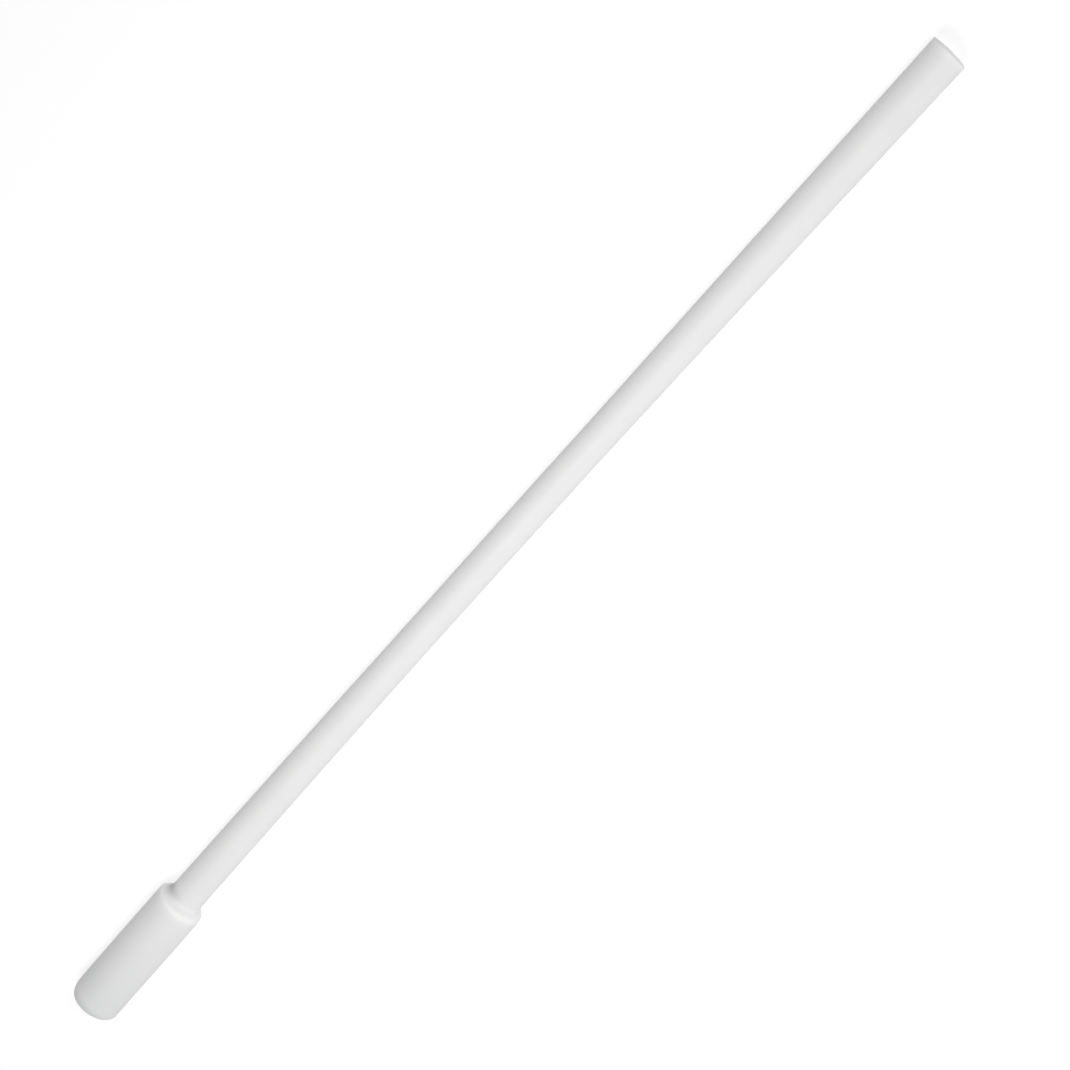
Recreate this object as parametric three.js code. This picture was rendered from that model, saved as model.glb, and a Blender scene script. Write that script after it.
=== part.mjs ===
// Magnetic stir bar retriever: a long white PTFE rod with a thicker magnetic head.
// It lies along +X with the centre of the head's flat tip face at the origin.
// Units are millimetres, +Z is up, and every piece is turned about the X axis.

import * as THREE from "three";

// ---------- driving dimensions ----------
const LENGTH = 300;                // tip face to tail face
const TURN_SEGMENTS = 48;          // facets round every turned piece
const FIT_GAP = 0.05;              // clearance between a sleeve and what it holds

// outside of the head
const HEAD_R = 6.35;
const TIP_ROUND = 1.6;             // rolled edge between the tip face and the side
const RIDGE_X = 35.6;              // where the side starts to turn into the shoulder
const RIDGE_ROUND = 1.6;
const SHOULDER_ANGLE = THREE.MathUtils.degToRad(58);
const SHOULDER_FILLET = 1.5;       // hollow where the shoulder runs out into the rod

// outside of the rod, which is a little waisted along its middle
const ROD_FOOT_R = 4.36;
const ROD_WAIST_R = 3.88;
const ROD_TAIL_R = 4.53;
const WAIST_START_X = 125;
const WAIST_END_X = 195;
const TAIL_ROUND = 0.6;

// hard parts sealed inside
const MAGNET_R = 5.5;
const MAGNET_LENGTH = 30;
const MAGNET_CHAMFER = 0.5;
const CORE_R = 3;
const CORE_CHAMFER = 0.4;
const SEAT_FLOOR = 1.2;            // solid web between the magnet and the core's socket
const SEAT_RIM = 0.4;              // wall left round the socket's mouth
const TAIL_PLUG_LENGTH = 7;

// tip plug: a stepped disc whose neck fills the opening in the rolled edge
const TIP_NECK_R = 4.2;
const TIP_NECK_LENGTH = 1.4;
const TIP_PLUG_LENGTH = 3.2;

// ---------- stations along the axis, worked out from the above ----------
const PLUG_BACK_X = TIP_PLUG_LENGTH;
const MAGNET_START_X = PLUG_BACK_X + FIT_GAP;
const SEAT_START_X = MAGNET_START_X + MAGNET_LENGTH + FIT_GAP;
const CORE_START_X = SEAT_START_X + SEAT_FLOOR + FIT_GAP;
const TAIL_PLUG_X = LENGTH - TAIL_PLUG_LENGTH;
const CORE_END_X = TAIL_PLUG_X - FIT_GAP;
const CHAMBER_R = MAGNET_R + FIT_GAP;
const BORE_R = CORE_R + FIT_GAP;

// Inside the jacket the shoulder's cone starts a little further back, the deeper the further.
const coneStartX = (radius) => RIDGE_X + (radius - HEAD_R + RIDGE_ROUND) * Math.tan(SHOULDER_ANGLE / 2);
const coneRun = (fromRadius, toRadius) => (fromRadius - toRadius) / Math.tan(SHOULDER_ANGLE);

// ---------- materials ----------
const ptfe = () => new THREE.MeshStandardMaterial({ color: 0xf0f0ee, roughness: 0.5, metalness: 0 });
const alnico = () => new THREE.MeshStandardMaterial({ color: 0x6e6c69, roughness: 0.6, metalness: 0.9 });
const steel = () => new THREE.MeshStandardMaterial({ color: 0xb9bbbd, roughness: 0.35, metalness: 1 });

// ---------- profile helpers: a point is (radius, distance along the axis) ----------
const at = (x, radius) => new THREE.Vector2(radius, x);

// Points on an arc about (x, radius); angles are measured from +X towards larger radius.
function arc(x, radius, size, fromAngle, toAngle, steps) {
  const points = [];
  for (let i = 0; i <= steps; i++) {
    const angle = THREE.MathUtils.lerp(fromAngle, toAngle, i / steps);
    points.push(at(x + size * Math.cos(angle), radius + size * Math.sin(angle)));
  }
  return points;
}

// Revolves a profile about its axis and lays that axis along +X.
function turned(name, profile, material) {
  const geometry = new THREE.LatheGeometry(profile, TURN_SEGMENTS);
  geometry.rotateZ(-Math.PI / 2);
  const mesh = new THREE.Mesh(geometry, material);
  mesh.name = name;
  return mesh;
}

// Outer line of the shoulder: over the ridge, down the cone and into the rod.
function shoulderLine() {
  const quarter = Math.PI / 2;
  const ridgeY = HEAD_R - RIDGE_ROUND;
  const ridge = arc(RIDGE_X, ridgeY, RIDGE_ROUND, quarter, quarter - SHOULDER_ANGLE, 5);
  const coneTop = ridge[ridge.length - 1];
  const filletRise = SHOULDER_FILLET * (1 - Math.cos(SHOULDER_ANGLE));
  const filletX = coneTop.y + coneRun(coneTop.x, ROD_FOOT_R + filletRise)
    + SHOULDER_FILLET * Math.sin(SHOULDER_ANGLE);
  const fillet = arc(filletX, ROD_FOOT_R + SHOULDER_FILLET, SHOULDER_FILLET,
    -quarter - SHOULDER_ANGLE, -quarter, 5);
  return [...ridge, ...fillet];
}

// ---------- the pieces ----------
// Sleeve shrunk over everything, open at the tip and at the tail for the two plugs.
function jacket() {
  const tipEdge = arc(TIP_ROUND, HEAD_R - TIP_ROUND, TIP_ROUND, Math.PI, Math.PI / 2, 6);
  const tailEdge = arc(LENGTH - TAIL_ROUND, ROD_TAIL_R - TAIL_ROUND, TAIL_ROUND, Math.PI / 2, 0, 4);
  const lipR = TIP_NECK_R + FIT_GAP;
  const lipX = TIP_NECK_LENGTH - FIT_GAP;
  const coneX = coneStartX(CHAMBER_R);
  const outside = [
    at(0, lipR),
    ...tipEdge,
    ...shoulderLine(),
    at(WAIST_START_X, ROD_WAIST_R),
    at(WAIST_END_X, ROD_WAIST_R),
    ...tailEdge,
  ];
  const inside = [
    at(LENGTH, BORE_R),
    at(coneX + coneRun(CHAMBER_R, BORE_R), BORE_R),
    at(coneX, CHAMBER_R),
    at(lipX, CHAMBER_R),
    at(lipX, lipR),
  ];
  return turned("jacket", [...outside, ...inside, at(0, lipR)], ptfe());
}

// Disc that closes the head: its neck lies flush with the tip face.
function tipPlug() {
  return turned("tip_plug", [
    at(0, 0),
    at(0, TIP_NECK_R),
    at(TIP_NECK_LENGTH, TIP_NECK_R),
    at(TIP_NECK_LENGTH, MAGNET_R),
    at(PLUG_BACK_X, MAGNET_R),
    at(PLUG_BACK_X, 0),
  ], ptfe());
}

// Solid round bar with a small chamfer at both ends.
function bar(name, startX, endX, radius, chamfer, material) {
  return turned(name, [
    at(startX, 0),
    at(startX, radius - chamfer),
    at(startX + chamfer, radius),
    at(endX - chamfer, radius),
    at(endX, radius - chamfer),
    at(endX, 0),
  ], material);
}

const magnet = () => bar("magnet", MAGNET_START_X, MAGNET_START_X + MAGNET_LENGTH,
  MAGNET_R, MAGNET_CHAMFER, alnico());

const coreRod = () => bar("core_rod", CORE_START_X, CORE_END_X, CORE_R, CORE_CHAMFER, steel());

// Cup behind the magnet: its cone makes the shoulder and its socket holds the core.
function magnetSeat() {
  const rimR = BORE_R + SEAT_RIM;
  const coneX = coneStartX(MAGNET_R);
  const coneEndX = coneX + coneRun(MAGNET_R, rimR);
  const socketX = CORE_START_X - FIT_GAP;
  return turned("magnet_seat", [
    at(SEAT_START_X, 0),
    at(SEAT_START_X, MAGNET_R),
    at(coneX, MAGNET_R),
    at(coneEndX, rimR),
    at(coneEndX, BORE_R),
    at(socketX, BORE_R),
    at(socketX, 0),
  ], steel());
}

// Short plug that closes the sleeve behind the core, flush with the tail face.
function tailPlug() {
  return turned("tail_plug", [
    at(TAIL_PLUG_X, 0),
    at(TAIL_PLUG_X, CORE_R),
    at(LENGTH, CORE_R),
    at(LENGTH, 0),
  ], ptfe());
}

const retriever = new THREE.Group();
for (const piece of [jacket, tipPlug, magnet, magnetSeat, coreRod, tailPlug]) {
  retriever.add(piece());
}

export default retriever;
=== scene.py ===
"""A white PTFE-covered magnetic stir bar retriever lying on a pale studio floor.

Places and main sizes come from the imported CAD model. The sleeve, its plugs and the sealed hard
parts are rebuilt here as finer meshes in the same places, with the small faults that a shrunk
sleeve has: a slight bow, soft lumps at the shoulder and ends that aren't quite true.
Lengths are in metres. X runs along the rod from the magnetic tip to the tail.
"""

import math

import bpy
from mathutils import Matrix, Vector, noise


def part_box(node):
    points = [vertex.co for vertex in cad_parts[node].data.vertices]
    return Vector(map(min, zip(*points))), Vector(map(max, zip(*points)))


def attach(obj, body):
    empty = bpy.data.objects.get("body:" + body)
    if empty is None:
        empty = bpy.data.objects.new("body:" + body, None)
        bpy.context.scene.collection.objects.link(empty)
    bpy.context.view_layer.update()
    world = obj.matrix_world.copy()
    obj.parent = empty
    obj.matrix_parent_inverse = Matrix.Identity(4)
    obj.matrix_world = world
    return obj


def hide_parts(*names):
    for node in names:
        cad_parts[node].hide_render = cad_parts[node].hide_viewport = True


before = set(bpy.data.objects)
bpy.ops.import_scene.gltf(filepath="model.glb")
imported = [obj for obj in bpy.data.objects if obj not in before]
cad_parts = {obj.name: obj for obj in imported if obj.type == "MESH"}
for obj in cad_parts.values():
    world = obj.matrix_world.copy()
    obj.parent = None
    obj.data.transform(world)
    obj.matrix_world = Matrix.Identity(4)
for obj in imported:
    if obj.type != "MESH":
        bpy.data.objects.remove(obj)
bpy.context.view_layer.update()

MM = 0.001
SLICE = 0.1 * MM                 # a CAD node's vertices this near a place count as being there


# ---------- sizes from the CAD frame ----------
def span(node_name):
    """(start, end) of a CAD node along the rod."""
    low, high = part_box(node_name)
    return low.x, high.x


def radius_of(node_name):
    low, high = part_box(node_name)
    return (high.y - low.y) / 2


def outer_radius_at(node_name, x):
    """Largest radius of the CAD node's vertices at x."""
    near = [v.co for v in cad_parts[node_name].data.vertices if abs(v.co.x - x) < SLICE]
    return max(math.hypot(co.y, co.z) for co in near)


LENGTH = span("jacket")[1]
HEAD_R = radius_of("jacket")
CORE_R = radius_of("core_rod")
MAGNET_R = radius_of("magnet")
NECK_R = outer_radius_at("tip_plug", 0)      # the tip plug's neck, seen as a disc in the tip face
WAIST_START_X, WAIST_END_X = 125 * MM, 195 * MM
WAIST_R = outer_radius_at("jacket", WAIST_START_X)
FIT_GAP = 0.05 * MM

# ---------- the sleeve's outline, on its +Y side (1) and its -Y side (-1) ----------
CONE_ANGLE = math.radians(58)    # slope of the shoulder, and of the seat under it
SHOULDER_X = {1: 36.43 * MM, -1: 36.55 * MM}    # where the side and the cone would meet
SHOULDER_R = {1: HEAD_R, -1: HEAD_R - 0.13 * MM}
SLIM_X = 26 * MM                 # the head slims from here to its shoulder
FOOT_R = 4.36 * MM
TAIL_R = 4.53 * MM
TIP_TAPER = {1: 1 * MM, -1: 0.2 * MM}         # the head is this much slimmer at its tip's edge
TIP_TAPER_LENGTH = {1: 2.4 * MM, -1: 1.2 * MM}
TIP_TAPER_ROUND = {1: 6 * MM, -1: 1.5 * MM}
TIP_ROUND = {1: 1.3 * MM, -1: 1.2 * MM}
RIDGE_ROUND = {1: 0.5 * MM, -1: 2.4 * MM}
FOOT_ROUND = {1: 3.6 * MM, -1: 0.6 * MM}
WAIST_ROUND = 5000 * MM          # so large that the rod's tapers melt into each other
TAIL_ROUND = {1: 0.3 * MM, -1: 0.7 * MM}
TIP_BULGE = 0.05 * MM            # the tip's face stands out a little
TIP_SLANT = 0.1                  # and both end faces stand further out on the +Y side
TAIL_SLANT = 0.046
TAIL_DOME = 0.3 * MM             # and the tail's bulges in the middle

# ---------- the plugs and the hard parts ----------
SEAM_ROUND = 0.15 * MM           # rim of the fused seam round each plug
NECK_LENGTH = 1.4 * MM
MAGNET_CHAMFER = 0.5 * MM
CORE_CHAMFER = 0.4 * MM
SEAT_RIM = 0.4 * MM
SEAT_FLOOR = 1.2 * MM

# ---------- how the real piece differs from a true turned shape ----------
BOW = 0.83 * MM                  # the rod's middle stands this far to the +Y side of its ends
BOW_SKEW = 0.9                   # below 1, the widest point of the bow is nearer the tip
RIDGE_LUMP = 0.1 * MM            # the ridge stands in and out
RIDGE_DRIFT = 0.3 * MM           # and wanders along the rod
RIDGE_REACH = 2.6 * MM           # how far each way both of them fade
RIDGE_LUMPS = 1.1                # a larger number makes more of them round the ridge
LUMP_SEED, DRIFT_SEED = 3, 7
WAVE = 0.02 * MM                 # the rod's faint waviness
WAVE_LENGTH = 14 * MM

RIDGE_X = {1: 36.8 * MM, -1: 35.2 * MM}
RUB_REACH = 1.3 * MM             # how far rubbing reaches from the ridge and the tip
RUB_FADE = 4                     # it is worst on the tip's edge, and fades over the face
STRETCH_HIGHLIGHT_X = 36 * MM              # the whitening of the stretched shoulder, partly a painted highlight
STRETCH_HIGHLIGHT_REACH = 1.4 * MM
TAIL_HIGHLIGHT_REACH = 1.3 * MM    # and of the tail's edge
HOLLOW_X = 38.6 * MM             # painted shade darkens the hollow behind the shoulder
HOLLOW_REACH = 1.1 * MM
HOLLOW_SHADE_SIDES = {1: 1, -1: 0}      # on its +Y side
HOLLOW_FADE = 3                  # a larger number makes the painted shade fade sooner round the rod

TURN_STEPS = 128                 # points round each piece
SHARP_ANGLE = math.radians(35)   # edges that turn more than this are drawn sharp
AXIS_RADIUS = 0.01 * MM          # a ring smaller than this is one point on the axis
LONG_STEP = 1.2 * MM             # points along each piece
PLUG_STEP = 0.4 * MM
WAVE_NODE_TURNS = 20             # the wave node turns this many radians per unit of its scale
MIX_SHARE, MIX_FIRST, MIX_SECOND, MIX_RESULT = 0, 6, 7, 2    # a Mix node's sockets for colours

# ---------- the camera ----------
LENS_MM, SENSOR_MM = 75.1, 36
CAMERA_REACH = 1.6 * LENGTH      # straight above the tail
CAMERA_LEAN = math.radians(90)   # 90 looks straight down on the rod
CAMERA_ROLL = math.radians(47.86)
AIM_ALONG = 0.5436 * LENGTH
AIM_ASIDE = 0.01117 * LENGTH

# ---------- the studio ----------
TABLE_RADIUS = 4.0               # the pale table is a wide dish with a raised rim
TABLE_FLAT = 1.8
TABLE_RIM = 1.3
TABLE_BRIGHT = 0.72              # it is lit from inside, most round the object
TABLE_DIM = 0.35
TABLE_BRIGHT_REACH = (0.36, 0.9)
TABLE_ALBEDO = 0.38
TABLE_LEAN = math.radians(60)
TABLE_CURVE_STEPS = 16
LAMP_REACH = 1.5 * LENGTH        # two square softboxes hang over the head and past the tail
LAMP_SWING = math.radians(10)    # a little to the -Y side
LAMP_SIZE = 0.2
HEAD_LAMP_X, HEAD_LAMP_WATTS = 0.17 * LENGTH, 1.25
TAIL_LAMP_X, TAIL_LAMP_WATTS = 1.2 * LENGTH, 0.96
ROOM_BRIGHT = 0.03               # the faint light that comes from everywhere


# ---------- outlines: (distance along the axis, radius) ----------
def rounded(corners, steps=12):
    """Turns (x, radius, rounding) corners into a line with an arc at each corner."""
    line = []
    for before, corner, after in zip([corners[0], *corners], corners, [*corners[1:], corners[-1]]):
        here, size = Vector(corner[:2]), corner[2]
        if not size:
            line.append(tuple(here))
            continue
        back = (Vector(before[:2]) - here).normalized()
        on = (Vector(after[:2]) - here).normalized()
        half = back.angle(on) / 2
        centre = here + (back + on).normalized() * size / math.sin(half)
        spoke = here + back * size / math.tan(half) - centre
        turn = (math.pi - 2 * half) * math.copysign(1, back.cross(on))
        for i in range(steps + 1):
            line.append(tuple(centre + Matrix.Rotation(-turn * i / steps, 2) @ spoke))
    return line


def spaced(line_of, step=LONG_STEP):
    """The +Y and -Y lines of line_of(side), with points added to both until none are step apart."""
    near, far = line_of(1), line_of(-1)
    points = [(near[0], far[0])]
    for i in range(1, len(near)):
        gap = max(math.dist(near[i - 1], near[i]), math.dist(far[i - 1], far[i]))
        count = max(1, math.ceil(gap / step))
        for j in range(1, count + 1):
            pair = (Vector(line[i - 1]).lerp(line[i], j / count) for line in (near, far))
            points.append(tuple(pair))
    return points


def outside_line(side):
    """The sleeve's outside, from the lip at the tip to the rim round the tail plug."""
    lip, bore = NECK_R + FIT_GAP, CORE_R + FIT_GAP
    shoulder, tip_r = SHOULDER_X[side], HEAD_R - TIP_TAPER[side]
    corners = [
        (NECK_LENGTH - FIT_GAP, lip, 0),
        (tip_face_x(lip, side), lip, SEAM_ROUND),
        (tip_face_x(tip_r, side), tip_r, TIP_ROUND[side]),
        (tip_face_x(tip_r, side) + TIP_TAPER_LENGTH[side], HEAD_R, TIP_TAPER_ROUND[side]),
        (SLIM_X, HEAD_R, 0),
        (shoulder, SHOULDER_R[side], RIDGE_ROUND[side]),
        (shoulder + (SHOULDER_R[side] - FOOT_R) / math.tan(CONE_ANGLE), FOOT_R, FOOT_ROUND[side]),
        (WAIST_START_X, WAIST_R, WAIST_ROUND),
        (WAIST_END_X, WAIST_R, WAIST_ROUND),
        (tail_face_x(TAIL_R, side), TAIL_R, TAIL_ROUND[side]),
        (tail_face_x(bore, side), bore, SEAM_ROUND),
        (LENGTH - LONG_STEP, bore, 0),
    ]
    return rounded(corners)


def tip_face_x(radius, side):
    return -TIP_BULGE - TIP_SLANT * radius * side


def tail_face_x(radius, side):
    return LENGTH + TAIL_SLANT * radius * side + TAIL_DOME * (1 - (radius / TAIL_R) ** 2)


def inside_line(side):
    """The sleeve's inside, back from the tail over the bore, the cone and the chamber to the lip."""
    bore, chamber = CORE_R + FIT_GAP, MAGNET_R + FIT_GAP
    cone_x = seat_cone_x() + FIT_GAP * math.tan(CONE_ANGLE / 2)
    bore_x = cone_x + (chamber - bore) / math.tan(CONE_ANGLE)
    return [(LENGTH - 2 * LONG_STEP, bore), (bore_x, bore), (cone_x, chamber),
            (NECK_LENGTH - FIT_GAP, chamber)]


def seat_cone_x():
    """Where the seat's straight side turns into its cone."""
    rim = CORE_R + FIT_GAP + SEAT_RIM
    return span("magnet_seat")[1] - (MAGNET_R - rim) / math.tan(CONE_ANGLE)


def seat_line(side):
    """The seat, a cup with its mouth towards the tail, the same on both sides."""
    start, end = span("magnet_seat")
    socket, floor_x = CORE_R + FIT_GAP, start + SEAT_FLOOR
    return [(start, 0), (start, MAGNET_R), (seat_cone_x(), MAGNET_R), (end, socket + SEAT_RIM),
            (end, socket), (floor_x, socket), (floor_x, 0)]


def tip_plug_line(side):
    """The stepped plug that closes the head, whose neck shows as a disc."""
    plug_r, end = radius_of("tip_plug"), span("tip_plug")[1]
    corners = [
        (tip_face_x(0, side), 0, 0),
        (tip_face_x(NECK_R, side), NECK_R, SEAM_ROUND),
        (NECK_LENGTH, NECK_R, 0),
        (NECK_LENGTH, plug_r, 0),
        (end, plug_r, 0),
        (end, 0, 0),
    ]
    return rounded(corners)


def tail_plug_line(side):
    """The plain plug that closes the bore."""
    start = span("tail_plug")[0]
    corners = [
        (start, 0, 0),
        (start, CORE_R, 0),
        (tail_face_x(CORE_R, side), CORE_R, SEAM_ROUND),
        (tail_face_x(CORE_R / 2, side), CORE_R / 2, 0),
        (tail_face_x(0, side), 0, 0),
    ]
    return rounded(corners)


def bar_line(node_name, chamfer):
    """A round bar with chamfered ends, the same on both sides."""
    start, end = span(node_name)
    radius = radius_of(node_name)
    line = [(start, 0), (start, radius - chamfer), (start + chamfer, radius),
            (end - chamfer, radius), (end, radius - chamfer), (end, 0)]
    return lambda side: line


# ---------- small faults ----------
def bow(x):
    """How far the bent axis stands aside at x."""
    return BOW * math.sin(math.pi * min(max(x / LENGTH, 0), 1) ** BOW_SKEW)


def bell(distance, reach):
    return math.exp(-((distance / reach) ** 2))


def uneven(angle, along=0, seed=0):
    """Smooth noise round the rod, about -0.5 to 0.5."""
    round_x, round_y = math.cos(angle) * RIDGE_LUMPS, math.sin(angle) * RIDGE_LUMPS
    return noise.noise(Vector((round_x + seed, round_y, along)))


def between(sides, angle):
    """The value of {1: on the +Y side, -1: on the -Y side} at an angle round the rod."""
    return (sides[1] + sides[-1]) / 2 + (sides[1] - sides[-1]) / 2 * math.cos(angle)


def lumpy(x, radius, angle):
    """The uneven ridge and the faint waves of the sleeve's outside."""
    at_ridge = bell(x - between(RIDGE_X, angle), RIDGE_REACH)
    radius += RIDGE_LUMP * at_ridge * uneven(angle, seed=LUMP_SEED)
    radius += WAVE * uneven(angle, x / WAVE_LENGTH)
    return x + RIDGE_DRIFT * at_ridge * uneven(angle, seed=DRIFT_SEED), radius


def true(x, radius, angle):
    return x, radius


# ---------- meshes ----------
def turned_rings(points, nudge, first):
    """Rings of vertices round the bowed axis, one for each (+Y, -Y) pair of points, and their places.

    The rings hold vertex numbers counted from first. A pair of no radius has a ring of one.
    """
    vertices, bands = [], []
    for near, far in points:
        band = []
        for i in range(TURN_STEPS if near[1] > AXIS_RADIUS else 1):
            angle = math.tau * i / TURN_STEPS
            x, radius = (between({1: on, -1: off}, angle) for on, off in zip(near, far))
            x, radius = nudge(x, radius, angle)
            band.append(first + len(vertices))
            vertices.append((x, radius * math.cos(angle) + bow(x), radius * math.sin(angle)))
        bands.append(band)
    return vertices, bands


def turned(name, points, nudge=true, inside=()):
    """Revolves the points round the bowed axis. With an inside too, the two close on each other."""
    vertices, bands = turned_rings(points, nudge, 0)
    if inside:
        more_vertices, more_bands = turned_rings(inside, true, len(vertices))
        vertices += more_vertices
        bands += more_bands + bands[:1]
    faces = []
    for near, far in zip(bands, bands[1:]):
        for i in range(TURN_STEPS):
            j = (i + 1) % TURN_STEPS
            corners = [near[i % len(near)], near[j % len(near)], far[j % len(far)], far[i % len(far)]]
            faces.append(list(dict.fromkeys(corners)))
    mesh = bpy.data.meshes.new(name)
    mesh.from_pydata(vertices, [], faces)
    mesh.polygons.foreach_set("use_smooth", [True] * len(faces))
    mesh.set_sharp_from_angle(angle=SHARP_ANGLE)
    mesh.update()
    piece = bpy.data.objects.new(name, mesh)
    bpy.context.scene.collection.objects.link(piece)
    return piece


def rubbed(x, radius, angle):
    """How rubbed the sleeve is: most on its ridge and on the edge of the tip."""
    ridge = bell(x - between(RIDGE_X, angle), RUB_REACH)
    tip = bell(x, RUB_REACH) * (radius / HEAD_R) ** RUB_FADE
    return max(ridge, tip)


def whitening_and_highlight(x, radius, angle):
    """How much the shoulder and the tail's edge are whitened: partly where the sleeve stretched as it
    shrank, partly a painted highlight.
    """
    shoulder = bell(x - STRETCH_HIGHLIGHT_X, STRETCH_HIGHLIGHT_REACH)
    tail = bell(LENGTH - x, TAIL_HIGHLIGHT_REACH)
    return max(shoulder, tail)


def painted_hollow_shade(x, radius, angle):
    """How much painted shade darkens the hollow behind the shoulder, on its +Y side."""
    return bell(x - HOLLOW_X, HOLLOW_REACH) * between(HOLLOW_SHADE_SIDES, angle) ** HOLLOW_FADE


SLEEVE_MARKS = {"rubbed": rubbed, "whitening_and_highlight": whitening_and_highlight, "painted_hollow_shade": painted_hollow_shade}


def mark(piece, name, amount):
    """Stores amount(x, radius, angle) at each point of the piece, for its material to read."""
    stored = piece.data.attributes.new(name, "FLOAT", "POINT")
    for vertex, value in zip(piece.data.vertices, stored.data):
        x, y, z = vertex.co
        value.value = amount(x, math.hypot(y - bow(x), z), math.atan2(z, y - bow(x)))


def fitted(piece, node_name, material):
    """Puts a piece on the body in place of its CAD node."""
    piece.data.materials.append(material)
    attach(piece, "root")
    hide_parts(node_name)


# ---------- shader nodes ----------
def new_material(name):
    material = bpy.data.materials.new(name)
    material.use_nodes = True
    return material, material.node_tree


def node(tree, kind, sockets=None, **settings):
    """A shader node. Each socket is given a value, or an output to take it from."""
    made = tree.nodes.new("ShaderNode" + kind)
    for name, value in settings.items():
        setattr(made, name, value)
    for key, value in (sockets or {}).items():
        if isinstance(value, bpy.types.NodeSocket):
            tree.links.new(value, made.inputs[key])
        else:
            made.inputs[key].default_value = value
    return made


def grain(tree, size, stretch=(1, 1, 1), detail=2):
    """Noise around 0.5 with blobs about size across, drawn out along the axes by stretch."""
    place = node(tree, "TexCoord").outputs["Object"]
    shrink = [1 / (size * share) for share in stretch]
    scaled = node(tree, "VectorMath", {0: place, 1: shrink}, operation="MULTIPLY").outputs[0]
    return node(tree, "TexNoise", {"Vector": scaled, "Scale": 1, "Detail": detail}).outputs["Fac"]


def rings(tree, pitch):
    """Slightly uneven waves from 0 to 1 in circles round the rod's axis."""
    place = node(tree, "TexCoord").outputs["Object"]
    scale = math.tau / (WAVE_NODE_TURNS * pitch)
    wave = node(tree, "TexWave", {"Vector": place, "Scale": scale, "Distortion": 0.4},
                wave_type="RINGS", rings_direction="X")
    return wave.outputs["Fac"]


def spread(tree, value, low, high, start=0.3, end=0.7):
    """The value run from start..end to low..high."""
    limits = {"Value": value, "From Min": start, "From Max": end, "To Min": low, "To Max": high}
    return node(tree, "MapRange", limits).outputs["Result"]


def product(tree, first, second):
    return node(tree, "Math", {0: first, 1: second}, operation="MULTIPLY").outputs[0]


def mixed(tree, share, first, second):
    """A colour between first and second."""
    sockets = {MIX_SHARE: share, MIX_FIRST: first, MIX_SECOND: second}
    return node(tree, "Mix", sockets, data_type="RGBA").outputs[MIX_RESULT]


def bumped(tree, *layers):
    """A normal from (height 0..1, depth in metres) layers, one on another."""
    normal = None
    for height, depth in layers:
        sockets = {"Height": height, "Distance": depth, "Strength": 1}
        if normal:
            sockets["Normal"] = normal
        normal = node(tree, "Bump", sockets).outputs["Normal"]
    return normal


def finish_shader(tree, colour, roughness, normal, **constants):
    """Links the varying sockets and sets the constant ones on the shader itself."""
    shader = tree.nodes["Principled BSDF"]
    tree.links.new(colour, shader.inputs["Base Color"])
    tree.links.new(roughness, shader.inputs["Roughness"])
    tree.links.new(normal, shader.inputs["Normal"])
    for name, value in constants.items():
        shader.inputs[name.replace("_", " ")].default_value = value


# ---------- materials ----------
PTFE_BRIGHT = (0.872, 0.872, 0.868, 1)
PTFE_DULL = (0.855, 0.856, 0.855, 1)
PTFE_RUBBED = (0.80, 0.80, 0.79, 1)
# partly stress whitening, partly a painted highlight on the shoulder and the tail's edge
PTFE_WHITENED_HIGHLIGHT = (0.93, 0.93, 0.925, 1)
PTFE_TIP_SHADE = (0.80, 0.803, 0.807, 1)   # painted shade: the head is darker towards its tip
# colour of the painted shade in the hollow behind the shoulder
PTFE_HOLLOW_SHADE = (0.55, 0.55, 0.545, 1)
PTFE_GLOSS = {"IOR": 1.35, "Specular_IOR_Level": 0.25}
ALNICO_DARK = (0.27, 0.26, 0.25, 1)
ALNICO_LIGHT = (0.36, 0.35, 0.34, 1)
TURNED_DARK = (0.46, 0.46, 0.45, 1)
TURNED_LIGHT = (0.58, 0.58, 0.57, 1)
DRAWN_DARK = (0.42, 0.42, 0.41, 1)
DRAWN_LIGHT = (0.55, 0.55, 0.54, 1)


def ptfe_skin():
    """Shrunk white PTFE: waxy and faintly mottled, with fine draw lines along the rod."""
    material, tree = new_material("ptfe_skin")
    mottle = grain(tree, 7 * MM)
    draw_lines = grain(tree, 0.4 * MM, stretch=(50, 1, 1))
    pores = grain(tree, 0.22 * MM)
    along = node(tree, "SeparateXYZ", {0: node(tree, "TexCoord").outputs["Object"]}).outputs["X"]
    # painted shade: the head grows darker from its shoulder to its tip
    tip_shade = spread(tree, along, 1, 0, 0, SHOULDER_X[1])
    marks = {name: node(tree, "Attribute", attribute_name=name).outputs["Fac"] for name in SLEEVE_MARKS}
    patches = spread(tree, grain(tree, 0.9 * MM, (2.5, 1, 1)), 0, 0.5, 0.45, 0.75)
    colour = mixed(tree, spread(tree, mottle, 0, 1), PTFE_DULL, PTFE_BRIGHT)
    colour = mixed(tree, tip_shade, colour, PTFE_TIP_SHADE)
    colour = mixed(tree, product(tree, marks["rubbed"], patches), colour, PTFE_RUBBED)
    # painted highlight together with stress whitening on the shoulder and the tail's edge
    colour = mixed(tree, marks["whitening_and_highlight"], colour, PTFE_WHITENED_HIGHLIGHT)
    # painted shade in the hollow behind the shoulder, on its +Y side
    colour = mixed(tree, marks["painted_hollow_shade"], colour, PTFE_HOLLOW_SHADE)
    roughness = spread(tree, grain(tree, 2.5 * MM, (3, 1, 1), 4), 0.41, 0.5)
    normal = bumped(tree, (mottle, 0.03 * MM), (draw_lines, 0.008 * MM), (pores, 0.004 * MM))
    finish_shader(tree, colour, roughness, normal, **PTFE_GLOSS)
    return material


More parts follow.
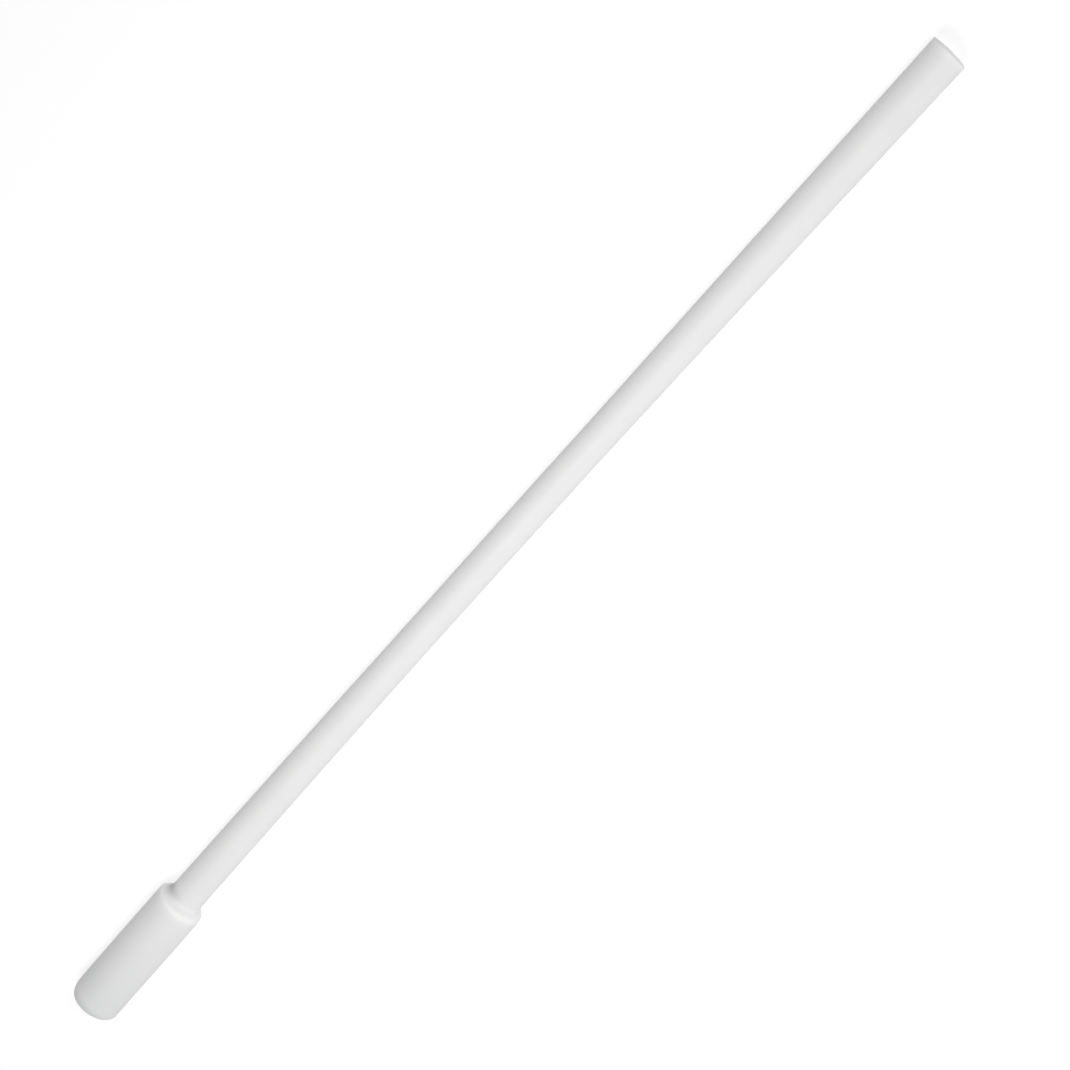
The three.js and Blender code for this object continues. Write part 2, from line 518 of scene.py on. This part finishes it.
def ptfe_plug():
    """Solid white PTFE with the rings of the lathe that faced it."""
    material, tree = new_material("ptfe_plug")
    turning = rings(tree, 0.24 * MM)
    mottle = grain(tree, 2.5 * MM)
    colour = mixed(tree, spread(tree, mottle, 0, 1), PTFE_DULL, PTFE_BRIGHT)
    roughness = spread(tree, grain(tree, 0.8 * MM), 0.38, 0.5)
    normal = bumped(tree, (turning, 0.012 * MM), (mottle, 0.01 * MM))
    finish_shader(tree, colour, roughness, normal, **PTFE_GLOSS)
    return material


def alnico():
    """Cast magnet alloy, ground along its length."""
    material, tree = new_material("alnico")
    cast = grain(tree, 0.6 * MM, detail=4)
    ground = grain(tree, 0.12 * MM, (40, 1, 1))
    colour = mixed(tree, spread(tree, cast, 0, 1), ALNICO_DARK, ALNICO_LIGHT)
    normal = bumped(tree, (cast, 0.02 * MM), (ground, 0.006 * MM))
    finish_shader(tree, colour, spread(tree, cast, 0.4, 0.58), normal, Metallic=1)
    return material


def turned_steel():
    """Plain steel with the rings of the lathe."""
    material, tree = new_material("turned_steel")
    stain = grain(tree, 1.5 * MM, detail=4)
    colour = mixed(tree, spread(tree, stain, 0, 1), TURNED_DARK, TURNED_LIGHT)
    normal = bumped(tree, (rings(tree, 0.3 * MM), 0.01 * MM))
    finish_shader(tree, colour, spread(tree, stain, 0.28, 0.42), normal, Metallic=1)
    return material


def drawn_steel():
    """Cold drawn steel bar, streaked along its length."""
    material, tree = new_material("drawn_steel")
    streaks = grain(tree, 0.25 * MM, (80, 1, 1), 3)
    colour = mixed(tree, spread(tree, streaks, 0, 1), DRAWN_DARK, DRAWN_LIGHT)
    normal = bumped(tree, (streaks, 0.008 * MM))
    finish_shader(tree, colour, spread(tree, streaks, 0.3, 0.45), normal, Metallic=1)
    return material


def lit_table():
    """Pale translucent table lit from inside, dimmer away from the object."""
    material, tree = new_material("table")
    place = node(tree, "NewGeometry").outputs["Position"]
    away = node(tree, "VectorMath", {0: place, 1: (LENGTH / 2, 0, 0)}, operation="DISTANCE").outputs["Value"]
    near, far = TABLE_BRIGHT_REACH
    limits = {"Value": away, "From Min": near, "From Max": far, "To Min": TABLE_BRIGHT, "To Max": TABLE_DIM}
    glow = node(tree, "MapRange", limits, interpolation_type="SMOOTHSTEP").outputs["Result"]
    shader = tree.nodes["Principled BSDF"]
    tree.links.new(glow, shader.inputs["Emission Strength"])
    shader.inputs["Emission Color"].default_value = (1, 1, 1, 1)
    shader.inputs["Base Color"].default_value = (TABLE_ALBEDO, TABLE_ALBEDO, TABLE_ALBEDO, 1)
    shader.inputs["Roughness"].default_value = 1
    shader.inputs["Specular IOR Level"].default_value = 0
    return material


# ---------- the pieces ----------
def add_sleeve(skin):
    sleeve = turned("sleeve", spaced(outside_line), lumpy, spaced(inside_line))
    for name, amount in SLEEVE_MARKS.items():
        mark(sleeve, name, amount)
    fitted(sleeve, "jacket", skin)


def add_plugs(plug):
    tip = turned("tip_disc", spaced(tip_plug_line, PLUG_STEP))
    fitted(tip, "tip_plug", plug)
    tail = turned("tail_disc", spaced(tail_plug_line, PLUG_STEP))
    fitted(tail, "tail_plug", plug)


def add_hard_core():
    """The sealed bars and the cup that joins them, hidden inside the sleeve."""
    magnet = turned("magnet_bar", spaced(bar_line("magnet", MAGNET_CHAMFER)))
    fitted(magnet, "magnet", alnico())
    core = turned("core_bar", spaced(bar_line("core_rod", CORE_CHAMFER)))
    fitted(core, "core_rod", drawn_steel())
    seat = turned("seat_cup", spaced(seat_line))
    fitted(seat, "magnet_seat", turned_steel())


# ---------- the studio ----------
def table_line():
    """(distance from the middle, height): flat, then curving up to a rim."""
    line = [(0, 0), (TABLE_FLAT / 2, 0)]
    for i in range(TABLE_CURVE_STEPS + 1):
        lift = TABLE_LEAN * i / TABLE_CURVE_STEPS
        out = TABLE_FLAT + (TABLE_RADIUS - TABLE_FLAT) * math.sin(lift) / math.sin(TABLE_LEAN)
        line.append((out, TABLE_RIM * (1 - math.cos(lift)) / (1 - math.cos(TABLE_LEAN))))
    return line


def add_table():
    """A level-looking table, tilted just enough that head and tail both rest on it."""
    slope = (HEAD_R - TAIL_R) / (LENGTH - SHOULDER_X[1])
    vertices, faces = [], []
    line = table_line()
    for out, lift in line:
        for i in range(TURN_STEPS):
            angle = math.tau * i / TURN_STEPS
            x, y = LENGTH / 2 + out * math.cos(angle), out * math.sin(angle)
            vertices.append((x, y, lift - HEAD_R + (x - SHOULDER_X[1]) * slope))
    for ring in range(1, len(line)):
        for i in range(TURN_STEPS):
            j = (i + 1) % TURN_STEPS
            near, far = (ring - 1) * TURN_STEPS, ring * TURN_STEPS
            corners = (far + i, far + j, near + j, near + i)
            faces.append(corners if ring > 1 else (far + i, far + j, 0))
    mesh = bpy.data.meshes.new("table")
    mesh.from_pydata(vertices, [], faces)
    mesh.polygons.foreach_set("use_smooth", [True] * len(faces))
    mesh.update()
    mesh.materials.append(lit_table())
    table = bpy.data.objects.new("table", mesh)
    bpy.context.scene.collection.objects.link(table)


def add_camera():
    data = bpy.data.cameras.new("camera")
    data.lens, data.sensor_width = LENS_MM, SENSOR_MM
    camera = bpy.data.objects.new("camera", data)
    bpy.context.scene.collection.objects.link(camera)
    rod = Vector((1, 0, 0))
    away = Vector((0, -math.cos(CAMERA_LEAN), math.sin(CAMERA_LEAN)))
    aside = rod.cross(away)
    eye = rod * LENGTH + away * CAMERA_REACH
    aim = rod * AIM_ALONG + aside * AIM_ASIDE
    back = (eye - aim).normalized()
    rod_seen = (rod - back * rod.dot(back)).normalized()
    across = back.cross(rod_seen)
    right = rod_seen * math.cos(CAMERA_ROLL) - across * math.sin(CAMERA_ROLL)
    up = rod_seen * math.sin(CAMERA_ROLL) + across * math.cos(CAMERA_ROLL)
    turn = Matrix((right, up, back)).transposed()
    camera.matrix_world = Matrix.Translation(eye) @ turn.to_4x4()
    bpy.context.scene.camera = camera


def add_softbox(name, x, watts):
    """A square softbox over the rod at x, turned to face the rod's middle."""
    data = bpy.data.lights.new(name, "AREA")
    data.shape, data.size, data.energy = "SQUARE", LAMP_SIZE, watts
    light = bpy.data.objects.new(name, data)
    bpy.context.scene.collection.objects.link(light)
    place = Vector((x, -LAMP_REACH * math.sin(LAMP_SWING), LAMP_REACH * math.cos(LAMP_SWING)))
    light.location = place
    light.rotation_mode = "QUATERNION"
    light.rotation_quaternion = (Vector((LENGTH / 2, 0, 0)) - place).to_track_quat("-Z", "Y")


def light_studio():
    world = bpy.data.worlds.new("studio")
    world.use_nodes = True
    background = world.node_tree.nodes["Background"]
    background.inputs["Color"].default_value = (1, 1, 1, 1)
    background.inputs["Strength"].default_value = ROOM_BRIGHT
    bpy.context.scene.world = world
    add_softbox("head_lamp", HEAD_LAMP_X, HEAD_LAMP_WATTS)
    add_softbox("tail_lamp", TAIL_LAMP_X, TAIL_LAMP_WATTS)
    bpy.context.scene.view_settings.view_transform = "Standard"


def build_retriever():
    add_sleeve(ptfe_skin())
    add_plugs(ptfe_plug())
    add_hard_core()


add_camera()
build_retriever()
add_table()
light_studio()
